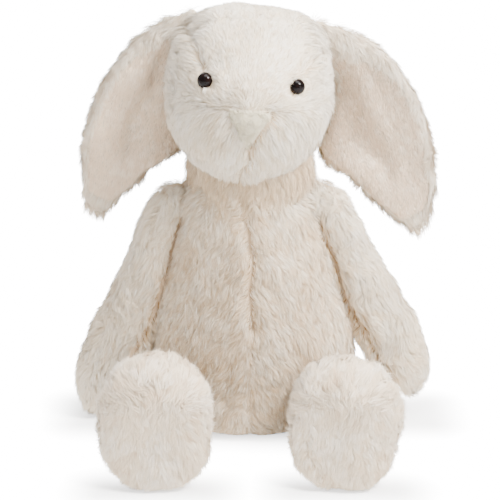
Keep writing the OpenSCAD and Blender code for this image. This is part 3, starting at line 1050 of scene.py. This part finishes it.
def make_arm(side):
    sign = 1 if side == "left" else -1
    nodes = [f"{side}_arm_outer", f"{side}_arm_inner", f"{side}_arm_stuffing"]
    skin = stuffed_skin(f"{side}_arm_skin", nodes, 4.0 * MM, 3 * MM)
    shoulder = np.array(JOINTS[f"{side}_arm_swing"]["pos_m"])
    low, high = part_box(nodes[0])
    hand = np.array([sign * max(abs(low.x), abs(high.x)) - sign * 0.014, (low.y + high.y) / 2, low.z])
    axis = unit(hand - shoulder)
    length = np.linalg.norm(hand - shoulder)

    def shape(points, normals):
        share = ((points - shoulder) @ axis) / length
        inward = np.clip(-normals[:, 0] * sign, 0, 1)
        middle = step(share, 0.08, 0.35) * (1 - step(share, 0.75, 1.0))
        lumps = 0.8 * waves(points, 40 * MM, 43) + 0.5 * waves(points, 15 * MM, 44)
        return (2.5 * middle * inward + lumps) * MM

    swell(skin, shape)
    points = coordinates(skin)
    x, y, z = points.T  # views of the points
    share = np.clip(((points - shoulder) @ axis) / length, 0, 1)
    x -= sign * 5.5 * MM * np.sin(share ** 0.8 * math.pi)
    top = 1 - step(share, 0.0, 0.4)
    facing_in = np.clip(-vertex_normals(skin)[:, 0] * sign, 0, 1)
    if sign > 0:
        x -= 6.0 * MM * top + 5.0 * MM * facing_in * (1 - step(share, 0.3, 0.7))
        z += 6.5 * MM * top
    else:
        x += 3.5 * MM * facing_in * (1 - step(share, 0.5, 0.9))
        z += 4.5 * MM * top
    y -= 3.0 * MM * facing_in * (1 - step(share, 0.4, 0.8))
    reach = step(share, 0.55, 0.95)
    if sign > 0:
        z += 5.0 * MM * reach
    else:
        x -= 6.0 * MM * reach * np.clip(0.5 - vertex_normals(skin)[:, 0], 0, 1)
        z -= 4.0 * MM * reach
    z[:] = np.maximum(z, HAND_GAP)
    move_to(skin, points)
    inner = sign * 0.011
    line = [
        (shoulder[0] - inner * 0.5, high.z - 0.013),
        ((shoulder[0] + hand[0]) / 2 - inner, (shoulder[2] + hand[2]) / 2),
        (hand[0] - inner * 0.5, hand[2] + 0.012),
    ]
    seams = [
        Seam(line, FRONT, 2.6 * MM, 3 * MM, 0.7, 0.6, 1.0),
        Seam(line, BACK, 1.5 * MM, 5 * MM, 0.75, 0.3),
    ]
    pull_seams(skin, seams)
    dress(skin, f"{side}_arm", backing, nodes)

    def stand(roots, normals):
        ruffle = 4 * (1 + waves(roots, 30 * MM, 45))
        return 12 * step(roots[:, 2], shoulder[2] - 0.012, shoulder[2] + 0.006) + ruffle

    hair = grow_pile(f"{side}_arm_pile", skin, ARM_BLADES, Pile(7.5 * MM), toward(axis), arm_pile,
                     41 if sign > 0 else 42, seams, stand=stand)
    dress(hair, f"{side}_arm")


def make_leg(side):
    sign = 1 if side == "left" else -1
    nodes = [f"{side}_leg_outer", f"{side}_leg_inner", f"{side}_sole_pad", f"{side}_leg_stuffing"]
    skin = stuffed_skin(f"{side}_leg_skin", nodes, 4.0 * MM, 3 * MM)
    low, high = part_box(f"{side}_sole_pad")
    centre = np.array((low + high) / 2)
    half = np.array((high - low) / 2)

    def shape(points, normals):
        lumps = 0.8 * waves(points, 34 * MM, 55 + sign) + 0.4 * waves(points, 14 * MM, 58 + sign)
        return lumps * MM * step(points[:, 2], 0.006, 0.02)

    swell(skin, shape)
    points = coordinates(skin)
    x, y, z = points.T  # views of the points
    z -= 4.0 * MM * (1 - step(z, 0.0, 0.03))
    y -= 4.5 * MM * (1 - step(z, 0.0, 0.035)) * step(-y, 0.10, 0.12)
    forward = step(-y, 0.085, 0.11)
    below = np.clip((centre[2] - z) / half[2], 0, 1)
    square = 1 + 0.16 * step(below, 0.25, 0.85)
    x[:] = centre[0] + (x - centre[0]) * (1 + (square - 1) * forward)
    z -= (6.0 if sign > 0 else 3.0) * MM * step(z, 0.045, 0.085) * forward
    z[:] = np.maximum(z, SKIN_GAP)
    move_to(skin, points)
    seam = Seam([(centre[0] - 0.028, centre[2] + 0.004), (centre[0] - 0.02, centre[2] - 0.024),
                 (centre[0] - 0.004, centre[2] - 0.040)], FRONT, 1.4 * MM, 3.5 * MM, 0.4, 0.1, 0.12)
    seams = [seam] if sign > 0 else []
    pull_seams(skin, seams)
    dress(skin, f"{side}_leg", backing, nodes)
    points, normals = coordinates(skin), vertex_normals(skin)
    sole = (normals[:, 1] < -0.55) & (points[:, 1] < centre[1] + 0.012)
    toe = step(points[:, 2] - centre[2], half[2] * 0.10, half[2] * 0.60)
    smooth = sole * (1 - toe)

    def out_from_sole(roots):
        lie = roots - centre
        lie[:, 1] = 0
        return lie

    def nap(roots, normals):
        lie = out_from_sole(roots) * 12
        lie[:, 2] -= 0.9
        return lie

    def tufted(roots, normals):
        lie = unit(out_from_sole(roots)) * 0.9
        lie[:, 1] += 0.9 * step(roots[:, 1], centre[1], centre[1] + 0.02)
        lie[:, 2] += 0.4 * step(roots[:, 2] - centre[2], 0.3 * half[2], half[2])
        return lie

    def short_under(roots, normals):
        return np.clip(roots[:, 2] / 0.006, 0.25, 1)

    soft = Pile(6 * MM, 0.32 * MM, 15, clump=3 * MM, clumping=0.38, wander=0.26, spread=7)
    hair = grow_pile(f"{side}_sole_pile", skin, SOLE_BLADES, soft, nap, sole_pile,
                     51 if sign > 0 else 52, seams, smooth, short_under)
    dress(hair, f"{side}_leg")
    shaggy = Pile(7.5 * MM, 0.34 * MM, 20, clump=3.8 * MM, clumping=0.45)
    hair = grow_pile(f"{side}_leg_pile", skin, LEG_BLADES, shaggy, tufted, sole_pile,
                     53 if sign > 0 else 54, seams, 1 - smooth, short_under)
    dress(hair, f"{side}_leg")


def make_tail():
    skin = stuffed_skin("tail_skin", ["tail_cover", "tail_stuffing"], 4.0 * MM, 0)
    dress(skin, "torso", backing, ["tail_cover", "tail_stuffing"])
    pile = Pile(11 * MM, lift=45, clumping=0.5)
    hair = grow_pile("tail_pile", skin, TAIL_BLADES, pile, toward((0, 0.3, -1)), body_pile, 61)
    dress(hair, "torso")


def finish_inner_pieces():
    """The pellet bag inside the seat stays as its CAD node, in its own cloth."""
    mesh = NODES["pellet_bag"].data
    mesh.materials.clear()
    mesh.materials.append(pellet_cloth)


# ---- setting

FLOOR_SIZE = 6.0
FLOOR_LEVEL = -0.0002
# Near everything resting on the floor its glow drops to the lower value, and rises to the full one over the
# reach: a painted contact shadow.
PAINTED_SHADOW_GLOW = 1.6
GLOW_FAR = 16.0
PAINTED_SHADOW_REACH = 0.045
STUDIO_LIGHT = 0.60


def camera_only(nodes, links, strength, shader_input):
    """Feeds a glow to a shader that the lens sees but that lights nothing."""
    path = nodes.new("ShaderNodeLightPath")
    seen = nodes.new("ShaderNodeMath")
    seen.operation = "MULTIPLY"
    links.new(strength, seen.inputs[0])
    links.new(path.outputs["Is Camera Ray"], seen.inputs[1])
    links.new(seen.outputs["Value"], shader_input)


def floor_glow_and_painted_shadow(x, y):
    """How brightly the paper glows at a place: dimmer in a soft edge round everything that rests on it, a
    painted contact shadow.
    """
    gap = np.full(x.shape, 1.0)
    for node in ("seat_panel", "left_arm_outer", "right_arm_outer", "left_sole_pad", "right_sole_pad"):
        low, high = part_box(node)
        half_x, half_y = (high.x - low.x) / 2, (high.y - low.y) / 2
        off_x = np.maximum(np.abs(x - (low.x + high.x) / 2) - half_x, 0)
        off_y = np.maximum(np.abs(y - (low.y + high.y) / 2) - half_y, 0)
        gap = np.minimum(gap, np.hypot(off_x, off_y))
    return PAINTED_SHADOW_GLOW + (GLOW_FAR - PAINTED_SHADOW_GLOW) * step(gap, 0.0, PAINTED_SHADOW_REACH)


def make_floor():
    """A pale studio sweep: a grid whose lines are close together under the toy, glowing, with a painted
    contact shadow round it.
    """
    fine = np.linspace(-0.24, 0.24, 121)
    lines = np.concatenate([[-FLOOR_SIZE, -1.0, -0.4], fine, [0.4, 1.0, FLOOR_SIZE]])
    x, y = np.meshgrid(lines, lines)
    across = len(lines)
    corner = (np.arange(across - 1)[:, None] * across + np.arange(across - 1)[None]).ravel()
    faces = np.stack([corner, corner + 1, corner + across + 1, corner + across], axis=1)
    points = np.stack([x.ravel(), y.ravel(), np.full(x.size, FLOOR_LEVEL)], axis=1)
    mesh = bpy.data.meshes.new("floor")
    mesh.from_pydata(points.tolist(), [], faces.tolist())
    glow = floor_glow_and_painted_shadow(x.ravel(), y.ravel()).astype(np.float32)
    mesh.attributes.new("glow", "FLOAT", "POINT").data.foreach_set("value", glow)
    floor = new_object("floor", mesh)
    material, nodes, links = new_material("floor_paper")
    shader = nodes["Principled BSDF"]
    set_inputs(shader, {"Base Color": (0.98, 0.98, 0.98), "Roughness": 1.0, "Specular IOR Level": 0.0})
    shader.inputs["Emission Color"].default_value = (1.0, 1.0, 1.0, 1.0)
    # The glow attribute carries the floor's glow together with the painted contact shadow round the toy.
    bright = nodes.new("ShaderNodeAttribute")
    bright.attribute_name = "glow"
    camera_only(nodes, links, bright.outputs["Fac"], shader.inputs["Emission Strength"])
    mesh.materials.append(material)


def area_light(name, place, target, size, power, tint=(1.0, 1.0, 1.0)):
    data = bpy.data.lights.new(name, "AREA")
    data.shape = "DISK"
    data.size = size
    data.energy = power
    data.color = tint
    obj = new_object(name, data)
    obj.location = place
    obj.rotation_euler = (Vector(target) - Vector(place)).to_track_quat("-Z", "Y").to_euler()


def make_light():
    world = bpy.data.worlds.new("studio")
    bpy.context.scene.world = world
    world.use_nodes = True
    background = world.node_tree.nodes["Background"]
    background.inputs["Color"].default_value = (1.0, 1.0, 1.0, 1.0)
    nodes, links = world.node_tree.nodes, world.node_tree.links
    path = nodes.new("ShaderNodeLightPath")
    strength = add_node(nodes, "ShaderNodeMapRange", {"To Min": STUDIO_LIGHT, "To Max": GLOW_FAR})
    links.new(path.outputs["Is Camera Ray"], strength.inputs["Value"])
    links.new(strength.outputs["Result"], background.inputs["Strength"])
    area_light("key", (0.78, -0.60, 1.15), (0, 0, 0.13), 0.5, 67.0, (1.0, 0.985, 0.96))
    area_light("top", (0.15, -0.25, 1.5), (0, 0, 0.1), 1.0, 34.0)
    area_light("rim", (-0.25, 0.95, 0.85), (0, 0, 0.14), 0.9, 20.0)


CAMERA_ELEVATION = math.radians(17)
CAMERA_DISTANCE = 1.10
CAMERA_TARGET = (0.0, 0.0, 0.112)
CAMERA_LENS = 121.85


def make_camera():
    data = bpy.data.cameras.new("camera")
    data.lens = CAMERA_LENS
    data.sensor_width = 36.0
    data.clip_start = 0.01
    camera = new_object("camera", data)
    x, y, z = CAMERA_TARGET
    camera.location = (
        x,
        y - CAMERA_DISTANCE * math.cos(CAMERA_ELEVATION),
        z + CAMERA_DISTANCE * math.sin(CAMERA_ELEVATION),
    )
    camera.rotation_euler = (Vector(CAMERA_TARGET) - camera.location).to_track_quat("-Z", "Y").to_euler()
    bpy.context.scene.camera = camera


make_torso()
make_collar()
make_head()
make_eyes()
for side in SIDES:
    make_ear(side)
    make_arm(side)
    make_leg(side)
make_tail()
finish_inner_pieces()
make_floor()
make_light()
make_camera()
